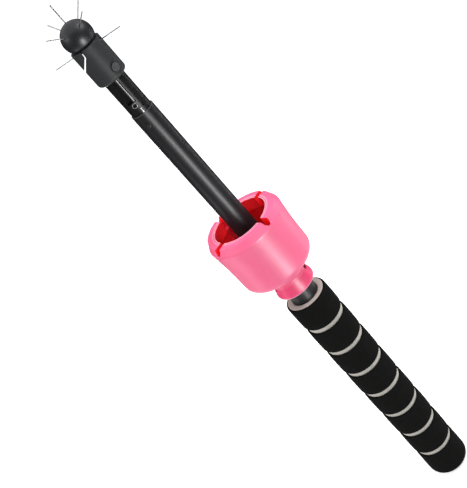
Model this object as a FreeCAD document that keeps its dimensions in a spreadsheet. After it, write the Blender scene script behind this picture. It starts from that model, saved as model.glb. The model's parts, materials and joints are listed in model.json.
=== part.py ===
"""Golf ball retriever: a telescoping hand tool with a foam grip, a ball cup and a wired ball head.

The tool's axis is +Z with the head up. Z = 0 is the butt's flat face, and the front is -Y.
An azimuth is counted from the front (-Y) towards +X. Lengths are millimetres, angles degrees.
"""
import FreeCAD, Part
import Sketcher
import math
import os
import re

# ---------------------------------------------------------------- driving dimensions
BANDS = 8                        # black outer bands of the grip

SIZES = {
    # foam grip
    "grip_length": 213.2,        # butt face to the foam's front face
    "grip_radius": 17.0,
    "core_radius": 15.3,         # outside of the light inner foam
    "first_band": 22.1,          # length of the band at the foam's front
    "last_band": 30.1,          # length of the band that closes the butt
    "groove_width": 3.1,
    "band_round": 1.4,           # rounded edges of each outer band
    "butt_round": 7.6,           # rounding of the last band at the butt
    "butt_skin": 4.2,            # thickness of the last band under the inner foam
    "cap_radius": 9.0,           # visible face of the butt cap
    "cap_thick": 5.2,
    "cap_wall": 1.6,
    "spigot_length": 8.7,        # butt cap's spigot inside the handle tube
    # handle tube and what it holds
    "handle_bare": 24.7,         # from the foam's front face to the handle tube's mouth
    "handle_radius": 10.9,
    "handle_wall": 1.0,
    "pad_thick": 3.0,
    "ear_width": 6.0,
    "ear_height": 3.2,
    "ear_drop": 0.4,             # from the mouth down to the top of the ears
    "ear_stand": 2.4,            # how far the ears stand out of the handle tube
    "catch_azimuth": 84.0,       # azimuth of one ear; the other is opposite
    "bush_length": 39.5,
    "bush_split": 4.6,           # slit along the mouth bush
    # shaft tube
    "shaft_recess": 4.9,         # shaft tube's rim below the handle's mouth when pushed in
    "shaft_radius": 8.55,
    "shaft_wall": 0.75,
    "guide_length": 14.0,        # guide bush on the shaft's lower end
    "guide_flange": 1.5,
    "guide_hole": 6.0,
    "rim_slit_width": 2.6,       # clamping slit in the back of the shaft tube's rim
    "rim_slit_depth": 6.5,
    # slotted stem, its screw and its rivet
    "stem_exposed": 28.2,        # shaft tube's rim to the housing
    "stem_inserted": 36.0,       # length held in the shaft tube
    "stem_socketed": 11.5,       # length held in the housing
    "slot_width": 1.0,
    "slot_azimuth": 3.0,
    "slot_bridge": 2.6,          # thickness of the bridge left across the slot's front
    "bridge_low": 3.8,           # bridge's lower and upper edge above the shaft tube's rim
    "bridge_high": 9.2,
    "pocket_azimuth": -23.0,
    "pocket_width": 4.4,
    "pocket_depth": 2.0,
    "groove_azimuth": 21.0,
    "groove_span": 1.2,
    "screw_azimuth": -14.0,
    "screw_height": 7.2,         # above the shaft tube's rim
    "screw_radius": 1.9,
    "screw_shank": 0.9,
    "screw_proud": 0.3,
    "screw_head": 1.1,
    "screw_length": 4.0,
    "screw_socket": 1.25,
    "rivet_azimuth": -25.0,
    "rivet_depth": 9.1,          # below the shaft tube's rim
    "rivet_radius": 1.5,
    "rivet_shank": 1.0,
    "rivet_proud": 0.6,
    "rivet_length": 3.0,
    # head housing
    "housing_radius": 11.0,
    "housing_length": 27.5,
    "housing_round": 2.4,
    "rim_round": 0.3,
    "jaw_tilt": 11.5,            # saw cuts run back and down at this angle
    "slit_width": 1.0,
    "seam_width": 0.5,
    "jaw_depth": 12.2,           # slit's outer end below the rim
    "jaw_corner": 5.8,           # slit's inner end below the rim
    "jaw_reach": 5.3,            # slit's inner end from the axis
    "jaw_rim": 4.2,              # seam from the axis at the rim
    # push button
    "button_azimuth": 28.5,
    "button_height": 6.9,        # above the housing's rear end
    "button_radius": 3.2,
    "button_flange": 3.9,
    "button_flange_thick": 0.8,
    "button_step": 1.17,         # thickness of the stem's step that the flange rests on
    "button_proud": 1.1,
    "button_dish": 0.5,
    "button_travel": 1.5,
    "spring_radius": 2.5,
    "spring_wire": 0.3,
    "spring_pitch": 1.9,
    # ball and its neck
    "ball_radius": 10.9,
    "ball_sunk": 4.5,            # how deep the ball sits in the housing
    "neck_radius": 4.6,
    "neck_spigot": 3.0,
    "neck_depth": 8.0,           # neck's spigot inside the ball
    # spring wires
    "wire_radius": 0.4,
    "wire_root": 5.2,            # inner end of each wire from the ball's centre
    "wire_polar": 57.0,          # slanting wires from the axis
    "slant_reach": 24.6,         # slanting wires' tips from the ball's centre
    "axial_reach": 25.5,
    "cross_reach": 27.0,         # half the length of the crossing wire
    "cross_drop": 3.2,           # crossing wire below the housing's rim
    "cross_azimuth": 63.0,
    "slant_azimuth_1": 37.0,
    "slant_azimuth_2": 132.0,
    "slant_azimuth_3": -50.0,
    "slant_azimuth_4": -153.0,
    "root_notch_width": 1.1,     # open notch in the ball at the third slanting wire
    "root_notch_depth": 3.0,
    # ball cup
    "cup_length": 68.6,
    "collar_wall": 4.4,
    "collar_length": 2.2,
    "waist_wall": 2.7,
    "waist_low": 9.0,            # the waist's two ends above the cup's lower end
    "waist_high": 12.8,
    "shoulder_high": 22.6,
    "mouth_radius": 21.15,       # takes a golf ball
    "lip_ledge": 3.55,           # from the mouth out to the cavity's wall
    "cup_wall": 4.0,
    "flare_step": 2.0,           # from the cup's side out to its widest ring
    "lip_step": 2.8,             # from the widest ring in to the lip's face
    "flare_drop": 5.6,           # widest ring below the mouth
    "flare_curve": 300.0,
    "lip_depth": 9.6,
    "cavity_low": 24.2,
    "funnel_low": 14.5,
    "collar_round": 0.9,
    "waist_round": 1.6,
    "shoulder_round": 7.0,
    "flare_round": 3.0,
    "cavity_round": 5.0,
    "lip_round": 0.6,
    "lip_slots": 4,
    "lip_slot_azimuth": 26.0,
    "lip_slot_width": 4.6,
    "lip_hole_radius": 2.6,      # round hole that ends each slot
    "lip_hole_inset": 0.4,       # hole's centre inside the lip's outer edge
    "rib_width": 1.6,            # grooves down the cavity's wall, in line with the slots
    "rib_depth": 0.9,
    "button_way_low": 6.9,       # relief for the head's button, above the cup's lower end
    "window_rise": 7.6,
    "window_height": 5.0,
    "window_angle": 52.0,
    # fits
    "seat_gap": 0.03,            # between nested pieces that are fixed together
    "running_gap": 0.05,         # between sliding pieces
    "cup_gap": 0.3,              # between the cup's bore and what passes through it
    "stop_gap": 0.2,             # between a stop and what meets it
}

doc = FreeCAD.newDocument("BallRetriever")
sheet = doc.addObject("Spreadsheet::Sheet", "Sizes")
for row, (alias, number) in enumerate(SIZES.items(), start=1):
    sheet.set(f"A{row}", alias)
    sheet.set(f"B{row}", str(number))
    sheet.setAlias(f"B{row}", alias)
doc.recompute()

# Heights and radii that follow from the driving dimensions, written in the sheet's aliases
HANDLE_BORE = "(handle_radius - handle_wall)"
HANDLE_TOP = "(grip_length + handle_bare)"
BAND_PITCH = f"((grip_length - first_band - last_band - groove_width) / {BANDS - 2})"
PAD_LOW = "(cap_thick + spigot_length)"
PAD_TOP = f"({PAD_LOW} + pad_thick)"
EAR_TOP = f"({HANDLE_TOP} - ear_drop)"
EAR_REACH = "(handle_radius + ear_stand)"
BUSH_LOW = f"({EAR_TOP} - bush_length)"
GUIDE_TOP = f"({BUSH_LOW} - stop_gap)"
GUIDE_LOW = f"({GUIDE_TOP} - guide_length)"
STROKE = f"({GUIDE_LOW} - stop_gap - {PAD_TOP})"
SHAFT_LOW = f"({GUIDE_LOW} + guide_flange)"
SHAFT_TOP = f"({HANDLE_TOP} - shaft_recess + {STROKE})"
STEM_RADIUS = "(shaft_radius - shaft_wall - seat_gap)"
STEM_LOW = f"({SHAFT_TOP} - stem_inserted)"
HOUSING_LOW = f"({SHAFT_TOP} + stem_exposed)"
STEM_TOP = f"({HOUSING_LOW} + stem_socketed)"
SHELF = f"({STEM_TOP} + stop_gap)"
HOUSING_TOP = f"({HOUSING_LOW} + housing_length)"
BUTTON_Z = f"({HOUSING_LOW} + button_height)"
BUTTON_SEAT = f"({STEM_RADIUS} - button_step)"
BALL_CENTRE = f"({HOUSING_TOP} + ball_radius - ball_sunk)"
BALL_LOW = f"({BALL_CENTRE} - ball_radius - seat_gap)"
SPIGOT_TOP = f"({BALL_LOW} + neck_depth)"
CROSS_Z = f"({HOUSING_TOP} - cross_drop)"
CUP_LOW = f"({EAR_TOP} + stop_gap - window_height - window_rise)"
CUP_TOP = f"({CUP_LOW} + cup_length)"
CUP_BORE = "(max(handle_radius; housing_radius) + cup_gap)"
COLLAR_RADIUS = f"({CUP_BORE} + collar_wall)"
WAIST_RADIUS = f"({CUP_BORE} + waist_wall)"
CAVITY_RADIUS = "(mouth_radius + lip_ledge)"
CUP_RADIUS = f"({CAVITY_RADIUS} + cup_wall)"
FLARE_RADIUS = f"({CUP_RADIUS} + flare_step)"
LIP_RADIUS = f"({FLARE_RADIUS} - lip_step)"
HOLE_CENTRE = f"({LIP_RADIUS} - lip_hole_inset)"

pieces = []


def on_sheet(words):
    """Give each alias in an expression the sheet's name, as an expression wants it."""
    return re.sub(r"[a-z][a-z_0-9]*", lambda word: f"Sizes.{word[0]}" if word[0] in SIZES else word[0], words)


def value_of(words):
    """The number that an expression of aliases gives."""
    return float(sheet.evalExpression(on_sheet(words)))


def bind(thing, **sizes):
    """Bind an object's properties to expressions of aliases."""
    for name, words in sizes.items():
        thing.setExpression(name, on_sheet(words))
    return thing


def keep(thing, label):
    """Name a finished piece and put it on the list that is exported."""
    thing.Label = label
    pieces.append(thing)
    return thing


# ---------------------------------------------------------------- places
def aim(azimuth, polar="90", height="0", out="0"):
    """A frame on the axis at a height, whose Z points to an azimuth and a polar angle, moved out along it."""
    turn = f"rotation(vector(0; 0; 1); {azimuth} - 90) * rotation(vector(0; 1; 0); {polar})"
    shift = f"placement(vector(0; 0; {out}); rotation(vector(0; 0; 1); 0))"
    return f"placement(vector(0; 0; {height}); {turn}) * {shift}"


def radial_rod(azimuth, near, far, radius, height, polar="90"):
    """A cylinder that points away from the axis, from one distance to another."""
    rod = doc.addObject("Part::Cylinder", "Rod")
    return bind(rod, Radius=radius, Height=f"({far}) - ({near})", Placement=aim(azimuth, polar, height, near))


def axial_rod(radius, low, high):
    """A cylinder on the axis between two heights."""
    rod = doc.addObject("Part::Cylinder", "AxialRod")
    return bind(rod, Radius=radius, Height=f"({high}) - ({low})",
                Placement=f"placement(vector(0; 0; {low}); rotation(vector(0; 0; 1); 0))")


def radial_box(azimuth, near, far, width, low, high):
    """A box that points away from the axis, centred on an azimuth."""
    box = doc.addObject("Part::Box", "Box")
    turn = f"placement(vector(0; 0; {low}); rotation(vector(0; 0; 1); {azimuth} - 90))"
    shift = f"placement(vector({near}; -({width}) / 2; 0); rotation(vector(0; 0; 1); 0))"
    return bind(box, Length=f"({far}) - ({near})", Width=width, Height=f"({high}) - ({low})",
                Placement=f"{turn} * {shift}")


def ball_at_centre(radius):
    """A sphere at the ball's centre."""
    sphere = doc.addObject("Part::Sphere", "Sphere")
    return bind(sphere, Radius=radius,
                Placement=f"placement(vector(0; 0; {BALL_CENTRE}); rotation(vector(0; 0; 1); 0))")


# ---------------------------------------------------------------- ways of making a piece
def cut(base, *tools):
    """The base without the tools."""
    result = doc.addObject("Part::Cut", "Cut")
    result.Base = base
    result.Tool = tools[0] if len(tools) == 1 else join(*tools)
    return result


def join(*things):
    """The things as one."""
    result = doc.addObject("Part::MultiFuse", "Join")
    result.Shapes = list(things)
    return result


def overlap(first, second):
    """What the two things share."""
    result = doc.addObject("Part::Common", "Common")
    result.Base = first
    result.Tool = second
    return result


def pin_corner(sketch, edge, corner, words):
    """Fix one corner of a sketch at (across, up), both expressions of aliases."""
    for axis, kind, expression in ((-2, "DistanceX", words[0]), (-1, "DistanceY", words[1])):
        size = value_of(expression)
        if expression == "0":
            sketch.addConstraint(Sketcher.Constraint("PointOnObject", edge, corner, axis))
            continue
        ends = (-1, 1, edge, corner) if size > 0 else (edge, corner, -1, 1)
        index = sketch.addConstraint(Sketcher.Constraint(kind, *ends, abs(size)))
        sketch.setExpression(f"Constraints[{index}]", on_sheet(expression if size > 0 else f"-({expression})"))


def outline(sketch, corners):
    """Draw a closed outline. A corner is (across, up), with a radius and a side when an arc leaves it."""
    spots = [FreeCAD.Vector(value_of(corner[0]), value_of(corner[1]), 0) for corner in corners]
    ends = []
    for index, corner in enumerate(corners):
        start = spots[index]
        stop = spots[(index + 1) % len(spots)]
        if len(corner) == 2:
            edge = sketch.addGeometry(Part.LineSegment(start, stop))
            ends.append((edge, 1, 2))
            continue
        radius = value_of(corner[2])
        chord = stop - start
        rise = radius - math.sqrt(radius ** 2 - (chord.Length / 2) ** 2)
        middle = start + chord * 0.5 + FreeCAD.Vector(-chord.y, chord.x, 0).normalize() * rise * corner[3]
        edge = sketch.addGeometry(Part.Arc(start, middle, stop))
        forward = sketch.getPoint(edge, 1).distanceToPoint(start) < sketch.getPoint(edge, 2).distanceToPoint(start)
        ends.append((edge, 1, 2) if forward else (edge, 2, 1))
        index = sketch.addConstraint(Sketcher.Constraint("Radius", edge, radius))
        sketch.setExpression(f"Constraints[{index}]", on_sheet(corner[2]))
    for index, (edge, start, stop) in enumerate(ends):
        after = ends[(index + 1) % len(ends)]
        sketch.addConstraint(Sketcher.Constraint("Coincident", edge, stop, after[0], after[1]))
        pin_corner(sketch, edge, start, corners[index])


def origin_plane(body, role):
    """One of a body's own origin planes or axes."""
    return next(feature for feature in body.Origin.OriginFeatures if feature.Role == role)


def rings_at(shape, spots):
    """Names of the round edges about the axis at the given (radius, height) spots."""
    names = []
    for radius, height in spots:
        found = [
            f"Edge{index}" for index, edge in enumerate(shape.Edges, start=1)
            if isinstance(edge.Curve, Part.Circle)
            and abs(edge.Curve.Radius - value_of(radius)) < 1e-4
            and abs(edge.Curve.Center.z - value_of(height)) < 1e-4
            and math.hypot(edge.Curve.Center.x, edge.Curve.Center.y) < 1e-4
        ]
        if not found:
            raise RuntimeError(f"no round edge at radius {radius}, height {height}")
        names += found
    return names


def turned(corners, rounds=()):
    """A body turned about the axis from an outline of (radius, height), with some of its edges rounded."""
    body = doc.addObject("PartDesign::Body", "Body")
    sketch = body.newObject("Sketcher::SketchObject", "Profile")
    sketch.AttachmentSupport = [(origin_plane(body, "XZ_Plane"), "")]
    sketch.MapMode = "FlatFace"
    outline(sketch, corners)
    feature = body.newObject("PartDesign::Revolution", "Revolution")
    feature.Profile = sketch
    feature.ReferenceAxis = (sketch, ["V_Axis"])
    feature.Angle = 360
    doc.recompute()
    for radius, spots in rounds:
        fillet = body.newObject("PartDesign::Fillet", "Fillet")
        fillet.Base = (feature, rings_at(feature.Shape, spots))
        bind(fillet, Radius=radius)
        doc.recompute()
        feature = fillet
    return body


# ---------------------------------------------------------------- handle
def make_handle():
    """Handle tube with two notches at its mouth, its butt cap, stop pad and mouth bush."""
    tube = turned([
        (HANDLE_BORE, "cap_thick"),
        ("handle_radius", "cap_thick"),
        ("handle_radius", HANDLE_TOP),
        (HANDLE_BORE, HANDLE_TOP),
    ])
    notch = radial_box("catch_azimuth", "-handle_radius - 1", "handle_radius + 1", "ear_width + 2 * seat_gap",
                       f"{EAR_TOP} - ear_height - seat_gap", f"{HANDLE_TOP} + 1")
    keep(cut(tube, notch), "handle_tube")

    spigot = f"({HANDLE_BORE} - seat_gap)"
    hollow = f"({spigot} - cap_wall)"
    keep(turned([
        ("0", "0"),
        ("cap_radius", "0"),
        ("cap_radius", "butt_skin"),
        ("handle_radius", "butt_skin"),
        ("handle_radius", "cap_thick"),
        (spigot, "cap_thick"),
        (spigot, PAD_LOW),
        (hollow, PAD_LOW),
        (hollow, "cap_thick"),
        ("0", "cap_thick"),
    ]), "butt_cap")
    keep(axial_rod(spigot, PAD_LOW, PAD_TOP), "stop_pad")

    # The bush's two ears stand through the notches and catch the cup's windows.
    ring = axial_rod(spigot, BUSH_LOW, EAR_TOP)
    ear_bar = radial_box("catch_azimuth", f"-{EAR_REACH} - 1", f"{EAR_REACH} + 1", "ear_width",
                         f"{EAR_TOP} - ear_height", EAR_TOP)
    ears = overlap(ear_bar, axial_rod(EAR_REACH, BUSH_LOW, EAR_TOP))
    bore = axial_rod("shaft_radius + running_gap", f"{BUSH_LOW} - 1", f"{EAR_TOP} + 1")
    split = radial_box("rivet_azimuth", "0", "handle_radius + 1", "bush_split", f"{BUSH_LOW} - 1", f"{EAR_TOP} + 1")
    keep(cut(join(ring, ears), bore, split), "mouth_bush")


def make_grip():
    """Two-layer foam grip: a light core, and black bands with grooves between them."""
    inner = "(handle_radius + seat_gap)"
    foot = "(butt_skin + seat_gap)"
    keep(turned([
        (inner, foot),
        ("core_radius", foot),
        ("core_radius", "grip_length"),
        (inner, "grip_length"),
    ]), "grip_core")

    bed = "(core_radius + seat_gap)"
    for number in range(1, BANDS):
        low = f"(grip_length - first_band - {BAND_PITCH} * {number - 1})"
        top = "grip_length" if number == 1 else f"({low} + {BAND_PITCH} - groove_width)"
        keep(turned([
            (bed, low),
            ("grip_radius", low),
            ("grip_radius", top),
            (bed, top),
        ], [("band_round", [("grip_radius", low), ("grip_radius", top)])]), f"grip_band_{number}")

    # The last band closes the butt around the cap.
    hole = "(cap_radius + seat_gap)"
    top = "last_band"
    keep(turned([
        (hole, "0"),
        ("grip_radius", "0"),
        ("grip_radius", top),
        (bed, top),
        (bed, "butt_skin"),
        (hole, "butt_skin"),
    ], [
        ("butt_round", [("grip_radius", "0")]),
        ("band_round", [("grip_radius", top)]),
    ]), f"grip_band_{BANDS}")


# ---------------------------------------------------------------- shaft
def make_shaft():
    """Shaft tube with its guide bush, and the rivet that holds the stem in it."""
    bore = "(shaft_radius - shaft_wall)"
    tube = turned([
        (bore, SHAFT_LOW),
        ("shaft_radius", SHAFT_LOW),
        ("shaft_radius", SHAFT_TOP),
        (bore, SHAFT_TOP),
    ])
    rivet_z = f"({SHAFT_TOP} - rivet_depth)"
    rivet_hole = radial_rod("rivet_azimuth", "1", "shaft_radius + 1", "rivet_shank + seat_gap", rivet_z)
    rim_slit = radial_box("slot_azimuth + 180", "1", "shaft_radius + 1", "rim_slit_width",
                          f"{SHAFT_TOP} - rim_slit_depth", f"{SHAFT_TOP} + 1")
    keep(cut(tube, rivet_hole, rim_slit), "shaft_tube")

    sleeve = "(shaft_radius + seat_gap)"
    outside = f"({HANDLE_BORE} - running_gap)"
    keep(turned([
        ("guide_hole", GUIDE_LOW),
        (outside, GUIDE_LOW),
        (outside, GUIDE_TOP),
        (sleeve, GUIDE_TOP),
        (sleeve, SHAFT_LOW),
        ("guide_hole", SHAFT_LOW),
    ]), "guide_bush")

    rivet = turned([
        ("0", "shaft_radius - rivet_length"),
        ("rivet_shank", "shaft_radius - rivet_length"),
        ("rivet_shank", "shaft_radius"),
        ("rivet_radius", "shaft_radius"),
        ("rivet_radius", "shaft_radius + rivet_proud"),
        ("0", "shaft_radius + rivet_proud"),
    ], [("rivet_proud * 0.8", [("rivet_radius", "shaft_radius + rivet_proud")])])
    keep(bind(rivet, Placement=aim("rivet_azimuth", height=rivet_z)), "stem_rivet")


def make_stem():
    """Slotted stem between the shaft tube and the head, with its screw."""
    blank = axial_rod(STEM_RADIUS, STEM_LOW, STEM_TOP)
    beyond = f"{STEM_RADIUS} + 1"
    slot_top = f"{HOUSING_LOW} + stop_gap"
    floor = f"({STEM_RADIUS} - slot_bridge)"
    cuts = [
        radial_box("slot_azimuth + 180", f"-{floor}", beyond, "slot_width", f"{SHAFT_TOP} - rim_slit_depth", slot_top),
        radial_box("slot_azimuth", "0", beyond, "slot_width", f"{SHAFT_TOP} + bridge_high", slot_top),
        radial_box("slot_azimuth", "0", beyond, "slot_width", f"{SHAFT_TOP} - bridge_low", f"{SHAFT_TOP} + bridge_low"),
    ]
    for turn in ("", " + 180"):
        cuts.append(radial_box(f"pocket_azimuth{turn}", f"{STEM_RADIUS} - pocket_depth", beyond, "pocket_width",
                               f"{SHAFT_TOP} + bridge_high + screw_proud", slot_top))
        cuts.append(radial_box(f"groove_azimuth{turn}", f"{STEM_RADIUS} - groove_span", beyond, "groove_span",
                               f"{SHAFT_TOP} + bridge_low", slot_top))
    screw_z = f"({SHAFT_TOP} + screw_height)"
    head_low = f"({STEM_RADIUS} + screw_proud - screw_head)"
    head_top = f"({STEM_RADIUS} + screw_proud)"
    tip = f"({head_low} - screw_length)"
    cuts += [
        radial_rod("screw_azimuth", f"{tip} - seat_gap", beyond, "screw_shank + seat_gap", screw_z),
        radial_rod("screw_azimuth", f"{head_low} - seat_gap", beyond, "screw_radius + seat_gap", screw_z),
        radial_rod("rivet_azimuth", "shaft_radius - rivet_length - seat_gap", beyond, "rivet_shank + seat_gap",
                   f"{SHAFT_TOP} - rivet_depth"),
        # The button's chamber is drilled from the back and stops at the step that its flange rests on.
        radial_rod("button_azimuth", f"-{STEM_RADIUS} - 1", BUTTON_SEAT, "button_flange + running_gap", BUTTON_Z),
        radial_rod("button_azimuth", "0", beyond, "button_radius + running_gap", BUTTON_Z),
    ]
    keep(cut(blank, *cuts), "slotted_stem")

    screw = turned([
        ("0", tip),
        ("screw_shank", tip),
        ("screw_shank", head_low),
        ("screw_radius", head_low),
        ("screw_radius", head_top),
        ("0", head_top),
    ], [("screw_proud", [("screw_radius", head_top)])])
    bind(screw, Placement=aim("screw_azimuth", height=screw_z))
    hexagon = doc.addObject("Part::Prism", "Hexagon")
    hexagon.Polygon = 6
    bind(hexagon, Circumradius="screw_socket", Height="screw_head",
         Placement=aim("screw_azimuth", height=screw_z, out=f"{head_top} - screw_head * 0.7"))
    keep(cut(screw, hexagon), "stem_screw")


# ---------------------------------------------------------------- head
def saw_prism(slit, seam):
    """The corner of the housing above the saw cuts, grown by the width of the slit and of the seam."""
    slope = "((jaw_depth - jaw_corner) / (housing_radius - jaw_reach))"
    drop = f"({slit} * sqrt(1 + {slope}^2))"
    outside = "-(housing_radius + jaw_reach)"
    outside_z = f"({HOUSING_TOP} - jaw_corner - {slope} * housing_radius - {drop})"
    above = f"({HOUSING_TOP} + housing_radius)"
    sketch = doc.addObject("Sketcher::SketchObject", "SawOutline")
    sketch.Placement = FreeCAD.Placement(FreeCAD.Vector(), FreeCAD.Rotation(FreeCAD.Vector(1, 0, 0), 90))
    outline(sketch, [
        (f"-(jaw_rim) + {seam}", above),
        (outside, above),
        (outside, outside_z),
        (f"-(jaw_reach) + {seam}", f"({HOUSING_TOP} - jaw_corner - {drop})"),
    ])
    prism = doc.addObject("Part::Extrusion", "SawPrism")
    prism.Base = sketch
    prism.DirMode = "Custom"
    prism.Solid = True
    prism.Symmetric = True
    return bind(prism, Dir="vector(0; cos(jaw_tilt); -sin(jaw_tilt))", LengthFwd="4 * housing_radius")


def make_housing():
    """Head housing and the jaw that is sawn off its rim; both seat the ball and clamp the crossing wire."""
    socket = f"({STEM_RADIUS} + seat_gap)"
    neck_bore = "(neck_radius + seat_gap)"
    blank = turned([
        (socket, HOUSING_LOW),
        ("housing_radius", HOUSING_LOW),
        ("housing_radius", HOUSING_TOP),
        (neck_bore, HOUSING_TOP),
        (neck_bore, SHELF),
        (socket, SHELF),
    ], [
        ("housing_round", [("housing_radius", HOUSING_LOW)]),
        ("rim_round", [("housing_radius", HOUSING_TOP)]),
    ])
    beyond = "housing_radius + 1"
    tools = [
        ball_at_centre("ball_radius + seat_gap"),
        radial_rod("button_azimuth", "0", beyond, "button_radius + running_gap", BUTTON_Z),
        radial_rod("cross_azimuth", f"-({beyond})", beyond, "wire_radius + seat_gap", CROSS_Z),
    ]
    for turn in ("", " + 180"):
        tools.append(radial_box(f"cross_azimuth{turn}", "neck_radius + 1", beyond, "2 * (wire_radius + seat_gap)",
                                CROSS_Z, f"{HOUSING_TOP} + 1"))
    shell = cut(blank, *tools)
    keep(cut(shell, saw_prism("slit_width", "seam_width")), "housing")
    keep(overlap(shell, saw_prism("0", "0")), "wire_jaw")


def make_button():
    """Push button in the housing, and the spring that returns it."""
    face = "(housing_radius + button_proud)"
    flange_top = f"({BUTTON_SEAT} - running_gap)"
    flange_low = f"({flange_top} - button_flange_thick)"
    button = turned([
        ("0", flange_low),
        ("button_flange", flange_low),
        ("button_flange", flange_top),
        ("button_radius", flange_top),
        ("button_radius", face),
        ("button_radius * 0.75", face),
        ("0", f"{face} - button_dish"),
    ], [("button_proud * 0.5", [("button_radius", face)])])
    keep(bind(button, Placement=aim("button_azimuth", height=BUTTON_Z)), "head_button")

    # The coil runs from the housing's wall behind the stem to the button's flange.
    helix = doc.addObject("Part::Helix", "CoilPath")
    rest = f"(-{STEM_RADIUS} + spring_wire)"
    bind(helix, Radius="spring_radius", Pitch="spring_pitch",
         Height=f"{flange_low} - stop_gap - spring_wire - {rest}",
         Placement=aim("button_azimuth", height=BUTTON_Z, out=rest))
    section = doc.addObject("Part::Circle", "CoilSection")
    across = "placement(vector(spring_radius; 0; 0); rotation(vector(1; 0; 0); 90))"
    bind(section, Radius="spring_wire",
         Placement=f"{aim('button_azimuth', height=BUTTON_Z, out=rest)} * {across}")
    coil = doc.addObject("Part::Sweep", "Coil")
    coil.Sections = [section]
    coil.Spine = (helix, [])
    coil.Solid = True
    coil.Frenet = True
    keep(coil, "button_spring")


def make_ball():
    """Ball, the neck that carries it, and the wires that spring from them."""
    wire_hole = "wire_radius + seat_gap"
    cross_hole = radial_rod("cross_azimuth", "-housing_radius", "housing_radius", wire_hole, CROSS_Z)
    neck = turned([
        ("0", SHELF),
        ("neck_radius", SHELF),
        ("neck_radius", BALL_LOW),
        ("neck_spigot", BALL_LOW),
        ("neck_spigot", SPIGOT_TOP),
        ("0", SPIGOT_TOP),
    ])
    keep(cut(neck, cross_hole), "ball_neck")

    beyond = "ball_radius + 1"
    holes = [
        radial_rod("cross_azimuth", "-housing_radius", "housing_radius", wire_hole, CROSS_Z),
        axial_rod("neck_spigot + seat_gap", f"{BALL_LOW} - 1", f"{SPIGOT_TOP} + stop_gap"),
        axial_rod(wire_hole, f"{BALL_CENTRE} + wire_root - seat_gap", f"{BALL_CENTRE} + {beyond}"),
    ]
    for number in range(1, 5):
        azimuth = f"slant_azimuth_{number}"
        holes.append(radial_rod(azimuth, "wire_root - seat_gap", beyond, wire_hole, BALL_CENTRE, "wire_polar"))
        wire = radial_rod(azimuth, "wire_root", "slant_reach", "wire_radius", BALL_CENTRE, "wire_polar")
        keep(wire, f"slant_wire_{number}")
    notch = doc.addObject("Part::Box", "RootNotch")
    corner = "placement(vector(-root_notch_width / 2; -root_notch_width / 2; 0); rotation(vector(0; 0; 1); 0))"
    frame = aim("slant_azimuth_3", "wire_polar", BALL_CENTRE, "ball_radius - root_notch_depth")
    bind(notch, Length="root_notch_width", Width="root_notch_width", Height="root_notch_depth + 1",
         Placement=f"{frame} * {corner}")
    keep(cut(ball_at_centre("ball_radius"), notch, *holes), "ball")
    keep(axial_rod("wire_radius", f"{BALL_CENTRE} + wire_root", f"{BALL_CENTRE} + axial_reach"), "axial_wire")
    keep(radial_rod("cross_azimuth", "-cross_reach", "cross_reach", "wire_radius", CROSS_Z), "cross_wire")


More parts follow.
